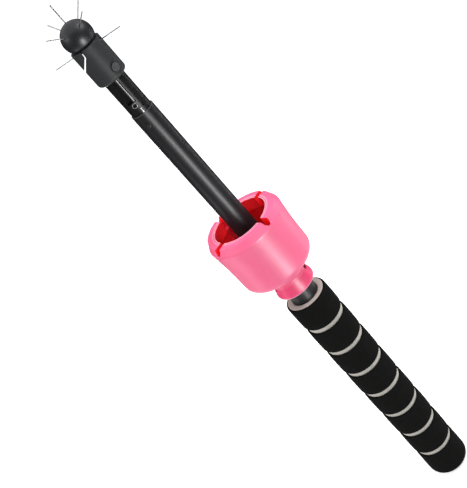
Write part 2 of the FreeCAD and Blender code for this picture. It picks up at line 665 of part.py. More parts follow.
# ---------------------------------------------------------------- ball cup
def make_cup():
    """Ball cup: a collar that slides on the handle, a funnel, a cavity and a slotted lip."""
    def up(words):
        return f"({CUP_LOW} + {words})"

    def down(words):
        return f"({CUP_TOP} - {words})"

    blank = turned([
        (CUP_BORE, CUP_LOW),
        (COLLAR_RADIUS, CUP_LOW),
        (COLLAR_RADIUS, up("collar_length")),
        (WAIST_RADIUS, up("waist_low")),
        (WAIST_RADIUS, up("waist_high")),
        (CUP_RADIUS, up("shoulder_high"), "flare_curve", 1),
        (FLARE_RADIUS, down("flare_drop")),
        (LIP_RADIUS, CUP_TOP),
        ("mouth_radius", CUP_TOP),
        ("mouth_radius", down("lip_depth")),
        (CAVITY_RADIUS, down("lip_depth")),
        (CAVITY_RADIUS, up("cavity_low")),
        (CUP_BORE, up("funnel_low")),
    ], [
        ("shoulder_round", [(CUP_RADIUS, up("shoulder_high"))]),
        ("cavity_round", [(CAVITY_RADIUS, up("cavity_low"))]),
        ("flare_round", [(FLARE_RADIUS, down("flare_drop"))]),
        ("collar_round", [(COLLAR_RADIUS, CUP_LOW), (COLLAR_RADIUS, up("collar_length"))]),
        ("waist_round", [(WAIST_RADIUS, up("waist_low")), (WAIST_RADIUS, up("waist_high"))]),
        ("lip_round", [(LIP_RADIUS, CUP_TOP), ("mouth_radius", CUP_TOP)]),
    ])

    # Slots through the lip, each with a shallow groove below it down the cavity's wall
    tools = []
    for number in range(SIZES["lip_slots"]):
        azimuth = f"(lip_slot_azimuth + {number} * 360 / lip_slots)"
        tools.append(radial_box(azimuth, "mouth_radius - 2", HOLE_CENTRE, "lip_slot_width",
                                f"{down('lip_depth')} - 1", f"{CUP_TOP} + 1"))
        hole = axial_rod("lip_hole_radius", f"{down('lip_depth')} - 1", f"{CUP_TOP} + 1")
        tools.append(bind(hole, Placement=f"placement(vector({HOLE_CENTRE} * sin({azimuth}); -{HOLE_CENTRE} * cos({azimuth}); "
                                          f"{down('lip_depth')} - 1); rotation(vector(0; 0; 1); 0))"))
        tools.append(radial_box(azimuth, f"{CAVITY_RADIUS} - 2", f"{CAVITY_RADIUS} + rib_depth", "rib_width",
                                f"{up('cavity_low')} + cavity_round", down("lip_depth")))

    # Relief in the bore for the head's button, which passes it when the cup covers the retracted head
    tools.append(radial_box("button_azimuth", "0", "housing_radius + button_proud + cup_gap",
                            "2 * (button_radius + cup_gap)", up("button_way_low"), up("funnel_low + 2")))

    # Windows that the ears catch, and the ways in for the ears from the collar's end
    window_reach = f"({WAIST_RADIUS} + cup_wall)"
    window_width = f"(2 * {WAIST_RADIUS} * sin(window_angle / 2))"
    tools.append(radial_box("catch_azimuth", f"-{window_reach}", window_reach, window_width,
                            up("window_rise"), up("window_rise + window_height")))
    ear_way = f"({EAR_REACH} + cup_gap)"
    tools.append(radial_box("catch_azimuth", f"-{ear_way}", ear_way, "ear_width + 2 * cup_gap",
                            f"{CUP_LOW} - 1", up("window_rise + 1")))
    keep(cut(blank, *tools), "ball_cup")


def export():
    """Check every object and every piece, then write one file for each piece."""
    doc.recompute()
    failed = [thing.Name for thing in doc.Objects if "Invalid" in thing.State or "Error" in thing.State]
    if failed:
        raise RuntimeError(f"objects that failed: {failed}")
    os.makedirs("parts", exist_ok=True)
    for piece in pieces:
        if piece.Shape.isNull() or not piece.Shape.isValid() or not piece.Shape.Solids:
            raise RuntimeError(f"{piece.Label} has no valid shape")
    for piece in pieces:
        piece.Shape.exportStep(f"parts/{piece.Label}.step")
        print(f"{piece.Label}: {len(piece.Shape.Solids)} solid, {piece.Shape.Volume:.1f} mm3")


make_handle()
make_grip()
make_shaft()
make_stem()
make_housing()
make_button()
make_ball()
make_cup()
export()
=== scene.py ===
# %% [markdown]
# # Golf ball retriever
#
# A telescoping hand tool: a foam grip on a black tube, a pink ball cup that slides on it, and a
# shaft that pushes out a ball-shaped head with spring wires. The CAD model gives every place and
# size. This script gives the tool its soft foam, its springs and wires, and all of its finishes.
#
# Everything is in metres. The tool's axis is Z with the head up, and its front faces -Y.

# %% Load the frame
import json
import math

import bpy
import numpy as np
from mathutils import Matrix, Vector


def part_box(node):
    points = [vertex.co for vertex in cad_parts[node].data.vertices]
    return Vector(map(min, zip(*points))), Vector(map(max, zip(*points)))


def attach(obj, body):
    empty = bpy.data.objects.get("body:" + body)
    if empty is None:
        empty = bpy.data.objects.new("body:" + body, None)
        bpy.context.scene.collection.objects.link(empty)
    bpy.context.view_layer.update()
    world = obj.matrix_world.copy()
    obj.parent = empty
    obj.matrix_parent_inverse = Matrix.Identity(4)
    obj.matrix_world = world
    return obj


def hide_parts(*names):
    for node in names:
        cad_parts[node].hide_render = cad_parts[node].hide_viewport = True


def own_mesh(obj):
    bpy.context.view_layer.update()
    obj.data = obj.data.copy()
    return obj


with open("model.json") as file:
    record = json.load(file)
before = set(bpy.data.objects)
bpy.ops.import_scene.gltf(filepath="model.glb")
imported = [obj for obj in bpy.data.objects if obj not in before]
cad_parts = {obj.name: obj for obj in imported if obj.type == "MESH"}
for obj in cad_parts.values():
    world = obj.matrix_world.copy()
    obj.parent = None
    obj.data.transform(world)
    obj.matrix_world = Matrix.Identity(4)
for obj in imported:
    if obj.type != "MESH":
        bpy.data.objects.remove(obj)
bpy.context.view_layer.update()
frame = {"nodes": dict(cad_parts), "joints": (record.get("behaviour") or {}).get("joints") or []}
nodes = frame["nodes"]
MM = 0.001

# %% [markdown]
# ## Camera
#
# A long lens keeps the tool's sides nearly parallel. The camera looks down on the tool from the
# front and is rolled, so that the tool lies across the frame. It could be aimed by a constraint,
# but here its place comes from an aim point, two angles, a roll and a distance, because those are
# easy to change one at a time, and a matrix of the camera's own three axes turns it.

# %% Place the camera
CAMERA_AZIMUTH = math.radians(1.294)
CAMERA_ELEVATION = math.radians(27.354)
CAMERA_ROLL = math.radians(-42.082)
CAMERA_AIM = np.array([-14.188, -0.320, 282.884]) * MM
CAMERA_DISTANCE = 707.52 * MM


def camera_axes(azimuth, elevation, roll):
    """The camera's right, up and backward axes.

    Backward points from the aim point to the camera. Right and up are the level pair, turned
    about backward by the roll.
    """
    level = np.array([math.cos(azimuth), math.sin(azimuth), 0.0])
    backward = np.array([
        math.sin(azimuth) * math.cos(elevation),
        -math.cos(azimuth) * math.cos(elevation),
        math.sin(elevation),
    ])
    upright = np.cross(backward, level)
    right = math.cos(roll) * level + math.sin(roll) * upright
    return right, np.cross(backward, right), backward


scene = bpy.context.scene
lens = bpy.data.cameras.new("camera")
lens.lens = 75.0
lens.sensor_width = 36.0
lens.clip_start = 0.05
camera = bpy.data.objects.new("camera", lens)
scene.collection.objects.link(camera)
axes = camera_axes(CAMERA_AZIMUTH, CAMERA_ELEVATION, CAMERA_ROLL)
turn = Matrix([list(row) for row in np.array(axes).T]).to_4x4()
place = CAMERA_AIM + CAMERA_DISTANCE * axes[2]
camera.matrix_world = Matrix.Translation(place) @ turn
scene.camera = camera
scene.view_settings.view_transform = "Standard"
print("camera at", [round(float(x), 3) for x in place])

# %% [markdown]
# ## Node materials
#
# Every finish is a small tree of shader nodes. Writing each node by hand takes four or five lines,
# so one helper adds a node, fills in its settings and joins its links. A second one starts a
# material with its Principled shader, where plain numbers such as roughness go straight onto the
# shader's own sockets. Colours are written as the hex values that a designer would use, and are
# turned from sRGB to the linear values that the renderer works in. Where one surface has two
# colours, a mask of ramps tells them apart by place, which needs no unwrapping.

# %% Material helpers
def linear(colour):
    """An sRGB hex colour as linear RGBA: each channel c becomes ((c + 0.055) / 1.055) to 2.4."""
    channels = [int(colour[i:i + 2], 16) / 255 for i in (1, 3, 5)]
    return (*[c / 12.92 if c <= 0.04045 else ((c + 0.055) / 1.055) ** 2.4 for c in channels], 1.0)


def add(tree, kind, settings=None, links=None):
    """Add a shader node. Settings are its properties or its sockets' values, links its inputs."""
    node = tree.nodes.new("ShaderNode" + kind)
    for name, value in (settings or {}).items():
        if isinstance(name, str) and hasattr(node, name):
            setattr(node, name, value)
        else:
            node.inputs[name].default_value = value
    for name, socket in (links or {}).items():
        tree.links.new(socket, node.inputs[name])
    return node


def start_finish(name, settings):
    """A new material with a Principled shader that has these socket values."""
    finish = bpy.data.materials.new(name)
    finish.use_nodes = True
    tree = finish.node_tree
    tree.nodes.clear()
    shader = add(tree, "BsdfPrincipled", settings)
    add(tree, "OutputMaterial", links={"Surface": shader.outputs["BSDF"]})
    place = add(tree, "TexCoord").outputs["Object"]
    return finish, tree, shader, place


def mask(tree, *regions):
    """Socket: the greatest of the regions' masks, each of which is the product of its ramps.

    A ramp is (value, none, full). It is 0 where the value is none, 1 where it is full, and a
    straight line between. With none above full, it falls as the value grows.
    """
    greatest = None
    for ramps in regions:
        product = None
        for value, none, full in ramps:
            ramp = add(tree, "MapRange", {"From Min": none, "From Max": full}, {"Value": value})
            if product is None:
                product = ramp
            else:
                product = add(tree, "Math", {"operation": "MULTIPLY"},
                              {0: product.outputs[0], 1: ramp.outputs[0]})
        if greatest is None:
            greatest = product
        else:
            greatest = add(tree, "Math", {"operation": "MAXIMUM"},
                           {0: greatest.outputs[0], 1: product.outputs[0]})
    return greatest.outputs[0]


def wear(finish, *names):
    """Give a finish to CAD nodes, in every material slot that they have."""
    for name in names:
        mesh = nodes[name].data
        if not mesh.materials:
            mesh.materials.append(finish)
        for index in range(len(mesh.materials)):
            mesh.materials[index] = finish
    print(finish.name, "on", ", ".join(names))


print("mid grey in linear light", round(linear("#808080")[0], 3))

# %% [markdown]
# ## Floor, world and lamps
#
# The floor and the world are pure white to the camera and in reflections, and only pale grey as
# sources of light, so that the background stays clean while the lamps alone model the shapes. The
# floor adds its white to an ordinary diffuse surface, which keeps the tool's soft shadow.

# %% White surroundings
WORLD_FILL = 0.62
FLOOR_GLOW = 0.62


def seen_directly(tree):
    """A socket that is 1 for rays from the camera, off gloss and through glass, and 0 for others."""
    path = add(tree, "LightPath")
    either = add(tree, "Math", {"operation": "MAXIMUM"},
                 {0: path.outputs["Is Camera Ray"], 1: path.outputs["Is Glossy Ray"]})
    return add(tree, "Math", {"operation": "MAXIMUM"},
               {0: either.outputs[0], 1: path.outputs["Is Transmission Ray"]}).outputs[0]


world = bpy.data.worlds.new("white_room")
world.use_nodes = True
scene.world = world
room = world.node_tree
room.nodes.clear()
shown = add(room, "MapRange", {"To Min": WORLD_FILL, "To Max": 1.0}, {"Value": seen_directly(room)})
white = add(room, "Background", {"Color": linear("#FFFFFF")}, {"Strength": shown.outputs["Result"]})
add(room, "OutputWorld", links={"Surface": white.outputs[0]})

paper = bpy.data.materials.new("floor_paper")
paper.use_nodes = True
sheet = paper.node_tree
sheet.nodes.clear()
glow = add(sheet, "MapRange", {"To Min": 0.0, "To Max": FLOOR_GLOW}, {"Value": seen_directly(sheet)})
lit = add(sheet, "Emission", {"Color": linear("#FFFFFF")}, {"Strength": glow.outputs["Result"]})
matt = add(sheet, "BsdfDiffuse", {"Color": linear("#EDEDED")})
both = add(sheet, "AddShader", links={0: lit.outputs[0], 1: matt.outputs[0]})
add(sheet, "OutputMaterial", links={"Surface": both.outputs[0]})

FLOOR_HALF = 20.0
floor_mesh = bpy.data.meshes.new("floor")
corners = [(-FLOOR_HALF, -FLOOR_HALF, 0), (FLOOR_HALF, -FLOOR_HALF, 0),
           (FLOOR_HALF, FLOOR_HALF, 0), (-FLOOR_HALF, FLOOR_HALF, 0)]
floor_mesh.from_pydata(corners, [], [(0, 1, 2, 3)])
floor_mesh.materials.append(paper)
floor = bpy.data.objects.new("floor", floor_mesh)
scene.collection.objects.link(floor)
print("world", WORLD_FILL, "and floor", FLOOR_GLOW, "of white")

# %% [markdown]
# Three large panels light the tool softly from the right, the left and overhead. Sun lamps would be
# simpler, but their shadows are hard. Narrow strips stand close by and are only seen in
# reflections: one in front and one behind draw the long highlight down the tubes, and the others
# draw the thin light edges at the sides. Every panel is turned to face a point on the tool's axis,
# and its power is its radiance times its area and pi.

# %% Light panels
def panel(name, azimuth, height, distance, width, tall, strength, target=0.25, gloss_only=False):
    """A soft rectangular lamp at an azimuth, counted from -Y towards +X, facing a point on the axis."""
    angle = math.radians(azimuth)
    at = Vector((distance * math.sin(angle), -distance * math.cos(angle), height))
    data = bpy.data.lights.new(name, "AREA")
    data.shape = "RECTANGLE"
    data.size = width
    data.size_y = tall
    data.energy = strength * width * tall * math.pi
    lamp = bpy.data.objects.new(name, data)
    facing = (Vector((0, 0, target)) - at).to_track_quat("-Z", "Y")
    lamp.matrix_world = Matrix.Translation(at) @ facing.to_matrix().to_4x4()
    lamp.visible_camera = False
    lamp.visible_diffuse = not gloss_only
    scene.collection.objects.link(lamp)
    return lamp


panel("key_panel", azimuth=84, height=1.05, distance=0.95, width=0.7, tall=0.7, strength=5.0)
panel("left_panel", azimuth=-80, height=0.85, distance=1.0, width=0.7, tall=0.7, strength=3.0)
overhead = panel("overhead_panel", azimuth=60, height=1.3, distance=0.25, width=0.7, tall=0.7,
                 strength=4.0)
overhead.visible_glossy = False
strips = [
    # name, azimuth, height, distance, width, tall, strength
    ("front_strip", 9, 0.16, 0.38, 0.085, 0.36, 42.0),
    ("right_strip", 106, 0.18, 0.38, 0.05, 0.36, 5.6),
    ("left_strip", -86, 0.08, 0.36, 0.06, 0.20, 6.4),
    ("back_strip", 190, 0.14, 0.38, 0.085, 0.28, 16.0),
]
for name, azimuth, height, distance, width, tall, strength in strips:
    panel(name, azimuth, height, distance, width, tall, strength, target=height, gloss_only=True)

# %% [markdown]
# Black flags stand round the tool. Studios set them up so that dark, shiny things have something
# dark to reflect beside the bright strips, and here only reflections see them. A dark world would
# do the same on every side, but flags leave the white room above them in the reflections. Each is
# a curved sheet, part of a cylinder round the tool.

# %% Black flags
felt = bpy.data.materials.new("black_felt")
felt.use_nodes = True
felt.node_tree.nodes["Principled BSDF"].inputs["Base Color"].default_value = linear("#141414")
felt.node_tree.nodes["Principled BSDF"].inputs["Roughness"].default_value = 1.0


def flag(name, start, end, radius, low, high):
    """A curved sheet between two azimuths a and two heights: x = radius sin a, y = -radius cos a."""
    angles = np.radians(np.linspace(start, end, 49))
    rim = np.stack([radius * np.sin(angles), -radius * np.cos(angles)], axis=-1).tolist()
    points = [(x, y, z) for z in (low, high) for x, y in rim]
    count = len(rim)
    sheet = bpy.data.meshes.new(name)
    sheet.from_pydata(points, [], [(i, i + 1, count + i + 1, count + i) for i in range(count - 1)])
    sheet.materials.append(felt)
    board = bpy.data.objects.new(name, sheet)
    for ray in ("camera", "diffuse", "transmission", "shadow"):
        setattr(board, "visible_" + ray, False)
    scene.collection.objects.link(board)


flag("low_flag", 0, 360, 0.44, 0.0, 0.62)
flag("front_flag", -62, 36, 0.46, 0.0, 1.0)
print("flags low all round, and high in front")

# %% [markdown]
# ## Tubes: black anodised aluminium
#
# The handle and the shaft are drawn aluminium tubes, anodised black. Dyed oxide is a dielectric
# skin: near black, satin, with one long soft highlight. Drawing leaves very fine lines along the
# tube. A texture image could hold them, but noise that is stretched along Z has no seam, so it
# varies the roughness in streaks.

# %% Tube finish
def streaks(tree, place, across, along):
    """Noise stretched along Z: each streak is about across wide and along long, in metres."""
    drawn = add(tree, "Mapping", {"Scale": (1 / across, 1 / across, 1 / along)}, {"Vector": place})
    return add(tree, "TexNoise", {"Scale": 1.0, "Detail": 3.0}, {"Vector": drawn.outputs["Vector"]})


anodised, tree, shader, place = start_finish("black_anodised_aluminium", {
    "Roughness": 0.40, "Specular IOR Level": 0.25, "Metallic": 0.0,
})
drawn = streaks(tree, place, across=0.9 * MM, along=70 * MM)
tone = add(tree, "MixRGB", {"Color1": linear("#17171A"), "Color2": linear("#202023")},
           {"Fac": drawn.outputs["Fac"]})
# Painted highlight: the saw cut at the shaft's end is painted lighter, as light catches it.
height = add(tree, "SeparateXYZ", links={"Vector": place}).outputs["Z"]
shaft_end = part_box("shaft_tube")[1].z
painted_cut_highlight = mask(tree, [(height, shaft_end - 0.5 * MM, shaft_end - 0.2 * MM)])
tone = add(tree, "MixRGB", {"Color2": linear("#46474A")},
           {"Fac": painted_cut_highlight, "Color1": tone.outputs["Color"]})
tree.links.new(tone.outputs["Color"], shader.inputs["Base Color"])
shine = add(tree, "MapRange", {"From Min": 0.3, "From Max": 0.7, "To Min": 0.38, "To Max": 0.46},
            {"Value": drawn.outputs["Fac"]})
tree.links.new(shine.outputs["Result"], shader.inputs["Roughness"])
wear(anodised, "handle_tube", "shaft_tube")

# %% [markdown]
# ## Cup: moulded polypropylene
#
# The cup is one injection moulding in pink polypropylene: waxy, slightly see-through at its thin
# edges and softly glossy. Inside, light bounces from pink wall to pink wall and turns deep red, and
# that bounced light is painted into the colour as a red, in the cavity, in the lip's bore and in
# its four slots. They could be a second material on their own faces, but the CAD mesh stays as it
# is, so the distance from the axis and the height find them, at every pose, because the cup carries
# its own coordinates.

# %% Where the cup's bounced light is painted red
def distance_from_axis(tree, place):
    """Socket: the distance from the Z axis, the length of the coordinates with Z set to 0."""
    flat = add(tree, "VectorMath", {"operation": "MULTIPLY", 1: (1, 1, 0)}, {0: place})
    length = add(tree, "VectorMath", {"operation": "LENGTH"}, {0: flat.outputs["Vector"]})
    return length.outputs["Value"]


pink, tree, shader, place = start_finish("pink_polypropylene", {
    "IOR": 1.49, "Specular IOR Level": 0.40, "Roughness": 0.42, "Subsurface Weight": 0.10,
    "Subsurface Radius": (1.0, 0.35, 0.4), "Subsurface Scale": 1.2 * MM,
})
cup_low, cup_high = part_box("ball_cup")
radius = distance_from_axis(tree, place)
height = add(tree, "SeparateXYZ", links={"Vector": place}).outputs["Z"]
SOFT = 0.2 * MM
BORE_RADIUS = 21.35 * MM
CAVITY_RADIUS = 25.0 * MM
CAVITY_FLOOR = cup_low.z + 24.2 * MM
LIP_UNDERSIDE = cup_high.z - 8.0 * MM
SLOT_AZIMUTH = math.radians(26)
SLOT_HALF = 2.65 * MM
SLOT_END = cup_high.x - 1.6 * MM
SLOT_FLOOR = cup_high.z - 9.5 * MM
above_floor = (height, CAVITY_FLOOR - 0.8 * MM, CAVITY_FLOOR)
bounce_red_places = [
    [(radius, BORE_RADIUS + SOFT, BORE_RADIUS), above_floor],
    [(radius, CAVITY_RADIUS + SOFT, CAVITY_RADIUS),
     (height, LIP_UNDERSIDE + 3.0 * MM, LIP_UNDERSIDE), above_floor],
]
# The slots follow two planes through the axis. A place's distance from a plane is the size of its
# dot product with the direction across the plane.
for quarter_turn in (0.0, math.pi / 2):
    facing = SLOT_AZIMUTH + quarter_turn
    across = (math.cos(facing), math.sin(facing), 0.0)
    beside = add(tree, "VectorMath", {"operation": "DOT_PRODUCT", 1: across}, {0: place})
    beside = add(tree, "Math", {"operation": "ABSOLUTE"}, {0: beside.outputs["Value"]}).outputs[0]
    bounce_red_places.append([
        (beside, SLOT_HALF + 0.05 * MM, SLOT_HALF),
        (radius, SLOT_END + SOFT, SLOT_END),
        (height, SLOT_FLOOR - 0.5 * MM, SLOT_FLOOR),
        (height, cup_high.z - 0.1 * MM, cup_high.z - 0.15 * MM),
    ])
# Painted light: the red of light bounced inside the cup.
painted_bounce_red = mask(tree, *bounce_red_places)
print("the cup is red in", len(bounce_red_places), "places")

# %% [markdown]
# Outside, the pink drifts a little from place to place, as pigment does in a moulding. The thick
# neck is painted a deeper pink, as painted shade, and the thin edges carry painted highlights: the
# mouth's, the rim's and the collar's. Each edge is a narrow band of radius or height, and is mixed
# in before the red.

# %% The cup's skin, its painted neck shade and its painted edge highlights
NECK_TOP = cup_low.z + 14.0 * MM
MOUTH_EDGE = 21.75 * MM
RIM_EDGE = 23.3 * MM
cloud = add(tree, "TexNoise", {"Scale": 1 / (18 * MM), "Detail": 2.0}, {"Vector": place})
skin = add(tree, "MixRGB", {"Color1": linear("#F5628C"), "Color2": linear("#FA6C96")},
           {"Fac": cloud.outputs["Fac"]}).outputs["Color"]
# Painted shade: the thick neck is painted a deeper pink.
neck = mask(tree, [(height, NECK_TOP, NECK_TOP - 5.0 * MM)])
skin = add(tree, "MixRGB", {"Color2": linear("#F0457A")},
           {"Fac": neck, "Color1": skin}).outputs["Color"]
# Painted highlights on the thin edges of the collar, the mouth and the rim.
edge_highlight_places = [[(height, cup_low.z + 0.9 * MM, cup_low.z + 0.45 * MM),
                 (height, cup_low.z + 0.02 * MM, cup_low.z + 0.12 * MM)]]
for middle in (MOUTH_EDGE, RIM_EDGE):
    beside = add(tree, "Math", {"operation": "SUBTRACT", 1: middle}, {0: radius})
    beside = add(tree, "Math", {"operation": "ABSOLUTE"}, {0: beside.outputs[0]}).outputs[0]
    edge_highlight_places.append([(beside, 0.30 * MM, 0.12 * MM),
                         (height, cup_high.z - 0.5 * MM, cup_high.z - 0.3 * MM)])
painted_edge_highlights = mask(tree, *edge_highlight_places)
skin = add(tree, "MixRGB", {"Color2": linear("#FFC4D4")},
           {"Fac": painted_edge_highlights, "Color1": skin}).outputs["Color"]
colour = add(tree, "MixRGB", {"Color2": linear("#FF2029")}, {"Fac": painted_bounce_red, "Color1": skin})
tree.links.new(colour.outputs["Color"], shader.inputs["Base Color"])
grain = add(tree, "TexNoise", {"Scale": 1 / (0.6 * MM), "Detail": 2.0}, {"Vector": place})
matte = add(tree, "Bump", {"Strength": 0.12, "Distance": 0.03 * MM}, {"Height": grain.outputs["Fac"]})
tree.links.new(matte.outputs["Normal"], shader.inputs["Normal"])
wear(pink, "ball_cup")

# %% [markdown]
# ## Head: moulded nylon
#
# The housing and its jaw are glass-filled nylon with a fine spark-eroded texture, which gives a dark
# grey with a broad sheen, and the ball is smoother and darker. The grit is bumped, because it is far
# finer than any mesh. It is about 0.1 mm on the real part and is drawn at 0.35 mm, so that it shows.

# %% Nylon finishes
def grainy_plastic(name, dark, light, roughness, grit, depth, specular):
    """A textured moulding: two close greys in soft clouds, and a bumped grit of a given size."""
    finish, tree, shader, place = start_finish(name, {"IOR": 1.52, "Roughness": roughness,
                                                      "Specular IOR Level": specular})
    cloud = add(tree, "TexNoise", {"Scale": 1 / (5 * MM), "Detail": 3.0}, {"Vector": place})
    tone = add(tree, "MixRGB", {"Color1": linear(dark), "Color2": linear(light)},
               {"Fac": cloud.outputs["Fac"]})
    tree.links.new(tone.outputs["Color"], shader.inputs["Base Color"])
    pits = add(tree, "TexNoise", {"Scale": 1 / grit, "Detail": 2.0}, {"Vector": place})
    bump = add(tree, "Bump", {"Strength": 0.35, "Distance": depth}, {"Height": pits.outputs["Fac"]})
    tree.links.new(bump.outputs["Normal"], shader.inputs["Normal"])
    return finish


nylon = grainy_plastic("spark_textured_nylon", "#28292B", "#313234", 0.56, 0.35 * MM, 0.05 * MM,
                       specular=0.20)
wear(nylon, "housing", "wire_jaw")

polished = grainy_plastic("polished_nylon", "#1B1C1F", "#222326", 0.40, 0.6 * MM, 0.012 * MM,
                          specular=0.35)
wear(polished, "ball")

# %% [markdown]
# ## Button: nylon with painted light and shade
#
# The button is the same nylon. Its flat top is painted lighter, a painted highlight, and its wall
# is painted near black, painted shade round the button. The wall is found by the distance from
# the button's own axis: the length of the cross product of that axis with the place, counted from
# the button's middle.

# %% Button finish
BUTTON_FLAT = 2.75 * MM
BUTTON_EDGE = 3.05 * MM
button_low, button_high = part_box("head_button")
button_joint = next(j for j in frame["joints"] if j["name"] == "button_press")
outward = -np.array(button_joint["axis"], float)
painted_light_button, tree, shader, place = start_finish("thumbed_nylon", {
    "IOR": 1.52, "Roughness": 0.5, "Specular IOR Level": 0.25,
})
from_middle = add(tree, "VectorMath",
                  {"operation": "SUBTRACT", 1: tuple((button_low + button_high) / 2)}, {0: place})
turned = add(tree, "VectorMath", {"operation": "CROSS_PRODUCT", 1: tuple(outward)},
             {0: from_middle.outputs["Vector"]})
off_axis = add(tree, "VectorMath", {"operation": "LENGTH"}, {0: turned.outputs["Vector"]})
# Painted shade on the wall, and a painted highlight on the flat top.
painted_wall_shade = mask(tree, [(off_axis.outputs["Value"], BUTTON_FLAT, BUTTON_EDGE)])
lit_top_cloud = add(tree, "TexNoise", {"Scale": 1 / (1.5 * MM), "Detail": 3.0}, {"Vector": place})
painted_lit_top = add(tree, "MixRGB", {"Color1": linear("#3C3D3F"), "Color2": linear("#4A4B4D")},
               {"Fac": lit_top_cloud.outputs["Fac"]})
tone = add(tree, "MixRGB", {"Color2": linear("#08080A")},
           {"Fac": painted_wall_shade, "Color1": painted_lit_top.outputs["Color"]})
tree.links.new(tone.outputs["Color"], shader.inputs["Base Color"])
wear(painted_light_button, "head_button")

# %% [markdown]
# ## Stem, bushes and stop pad
#
# The slotted stem is machined from black acetal, which keeps a low, even shine. The bushes, the
# butt cap and the ball's neck are moulded polyethylene, a little waxier, and the stop pad is a disc
# of dull rubber. They differ only in tone, gloss and grit, so the nylon's function serves for all.

# %% Stem, bush and pad finishes
acetal = grainy_plastic("black_acetal", "#0E0E0F", "#151516", 0.42, 0.5 * MM, 0.03 * MM,
                        specular=0.22)
wear(acetal, "slotted_stem")

inner = grainy_plastic("black_polyethylene", "#121213", "#18181A", 0.50, 0.6 * MM, 0.04 * MM,
                       specular=0.38)
wear(inner, "mouth_bush", "guide_bush", "butt_cap", "ball_neck")

rubber = grainy_plastic("stop_pad_rubber", "#101010", "#161616", 0.75, 0.8 * MM, 0.08 * MM,
                        specular=0.45)
wear(rubber, "stop_pad")

# %% [markdown]
# ## Rivet and spring steel
#
# The rivet is blackened steel: a thin dark oxide over metal. The wires are bright drawn spring
# steel. Both vary in small clouds of tone and gloss, and a metal keeps the default IOR, because
# its colour alone sets how much it reflects.

# %% Steel finishes
def steel(name, dark, light, roughness, metallic):
    """A metal whose tone and roughness vary in small clouds, as oxide or oil leaves it."""
    finish, tree, shader, place = start_finish(name, {"Metallic": metallic, "Roughness": roughness})
    cloud = add(tree, "TexNoise", {"Scale": 1 / (1.5 * MM), "Detail": 4.0}, {"Vector": place})
    tone = add(tree, "MixRGB", {"Color1": linear(dark), "Color2": linear(light)},
               {"Fac": cloud.outputs["Fac"]})
    tree.links.new(tone.outputs["Color"], shader.inputs["Base Color"])
    gloss = add(tree, "MapRange", {"To Min": roughness - 0.08, "To Max": roughness + 0.08},
                {"Value": cloud.outputs["Fac"]})
    tree.links.new(gloss.outputs["Result"], shader.inputs["Roughness"])
    return finish


oxide = steel("black_oxide_steel", "#2C2C2D", "#434344", 0.42, 0.7)
wear(oxide, "stem_rivet")

spring_steel = steel("spring_steel", "#929497", "#BCBDC0", 0.32, 1.0)
wear(spring_steel, "axial_wire", *[f"slant_wire_{number}" for number in range(1, 5)])

# %% [markdown]
# ## Screw
#
# The screw's head is a lighter grey steel than the rivet, and its socket is painted near black, as
# painted shade in the recess. The socket is found by the distance from the screw's axis, which runs
# along Y.

# %% Screw finish
SOCKET_INSIDE = 1.32 * MM
SOCKET_EDGE = 1.45 * MM
socketed, tree, shader, place = start_finish("grey_steel_painted_socket_shade", {"Metallic": 0.6, "Roughness": 0.4})
screw_low, screw_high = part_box("stem_screw")
screw_at = (screw_low + screw_high) / 2
flat = add(tree, "VectorMath", {"operation": "MULTIPLY", 1: (1, 0, 1)}, {0: place})
from_screw = add(tree, "VectorMath", {"operation": "DISTANCE", 1: (screw_at.x, 0, screw_at.z)},
                 {0: flat.outputs["Vector"]})
rub = add(tree, "TexNoise", {"Scale": 1 / (0.8 * MM), "Detail": 3.0}, {"Vector": place})
rim_tone = add(tree, "MixRGB", {"Color1": linear("#737579"), "Color2": linear("#959699")},
               {"Fac": rub.outputs["Fac"]})
# Painted shade: the socket is painted near black, the shadow in its recess.
socket = mask(tree, [(from_screw.outputs["Value"], SOCKET_EDGE, SOCKET_INSIDE)])
tone = add(tree, "MixRGB", {"Color2": linear("#050505")},
           {"Fac": socket, "Color1": rim_tone.outputs["Color"]})
tree.links.new(tone.outputs["Color"], shader.inputs["Base Color"])
wear(socketed, "stem_screw")

# %% [markdown]
# ## Foam
#
# The grip is two layers of EVA foam. The outer black layer is cut through in rings, which bares
# the pale grey layer under it. Closed-cell foam is matt, with pores of a few tenths of a
# millimetre, so the finish has hardly any highlight, and the grey has a faint fuzz of sheen.
# Modelled pores would take millions of faces, so a Voronoi pattern dents it at about their size,
# and darkens the colour in them as painted shade.

# %% Foam finishes
def foam(name, dark, light, pore, sheen):
    """Matt foam: pores from Voronoi cells, over a softer unevenness ten times as large."""
    finish, tree, shader, place = start_finish(name, {
        "Roughness": 0.95, "Specular IOR Level": 0.035, "Sheen Weight": sheen, "Sheen Roughness": 0.6,
    })
    cells = add(tree, "TexVoronoi", {"Scale": 1 / pore}, {"Vector": place})
    lumps = add(tree, "TexNoise", {"Scale": 0.1 / pore, "Detail": 5.0, "Roughness": 0.6},
                {"Vector": place})
    tone = add(tree, "MixRGB", {"Color1": linear(dark), "Color2": linear(light)},
               {"Fac": lumps.outputs["Fac"]})
    # Painted shade: the colour is darkened near each Voronoi cell's point, in the pores.
    pit = add(tree, "MapRange", {"From Max": 0.5, "To Min": 0.75, "To Max": 1.0},
              {"Value": cells.outputs["Distance"]})
    shade = add(tree, "VectorMath", {"operation": "SCALE"},
                {0: tone.outputs["Color"], "Scale": pit.outputs["Result"]})
    tree.links.new(shade.outputs["Vector"], shader.inputs["Base Color"])
    both = add(tree, "MixRGB", {"Fac": 0.5},
               {"Color1": cells.outputs["Distance"], "Color2": lumps.outputs["Fac"]})
    bump = add(tree, "Bump", {"Strength": 0.6, "Distance": 0.12 * MM},
               {"Height": both.outputs["Color"]})
    tree.links.new(bump.outputs["Normal"], shader.inputs["Normal"])
    return finish


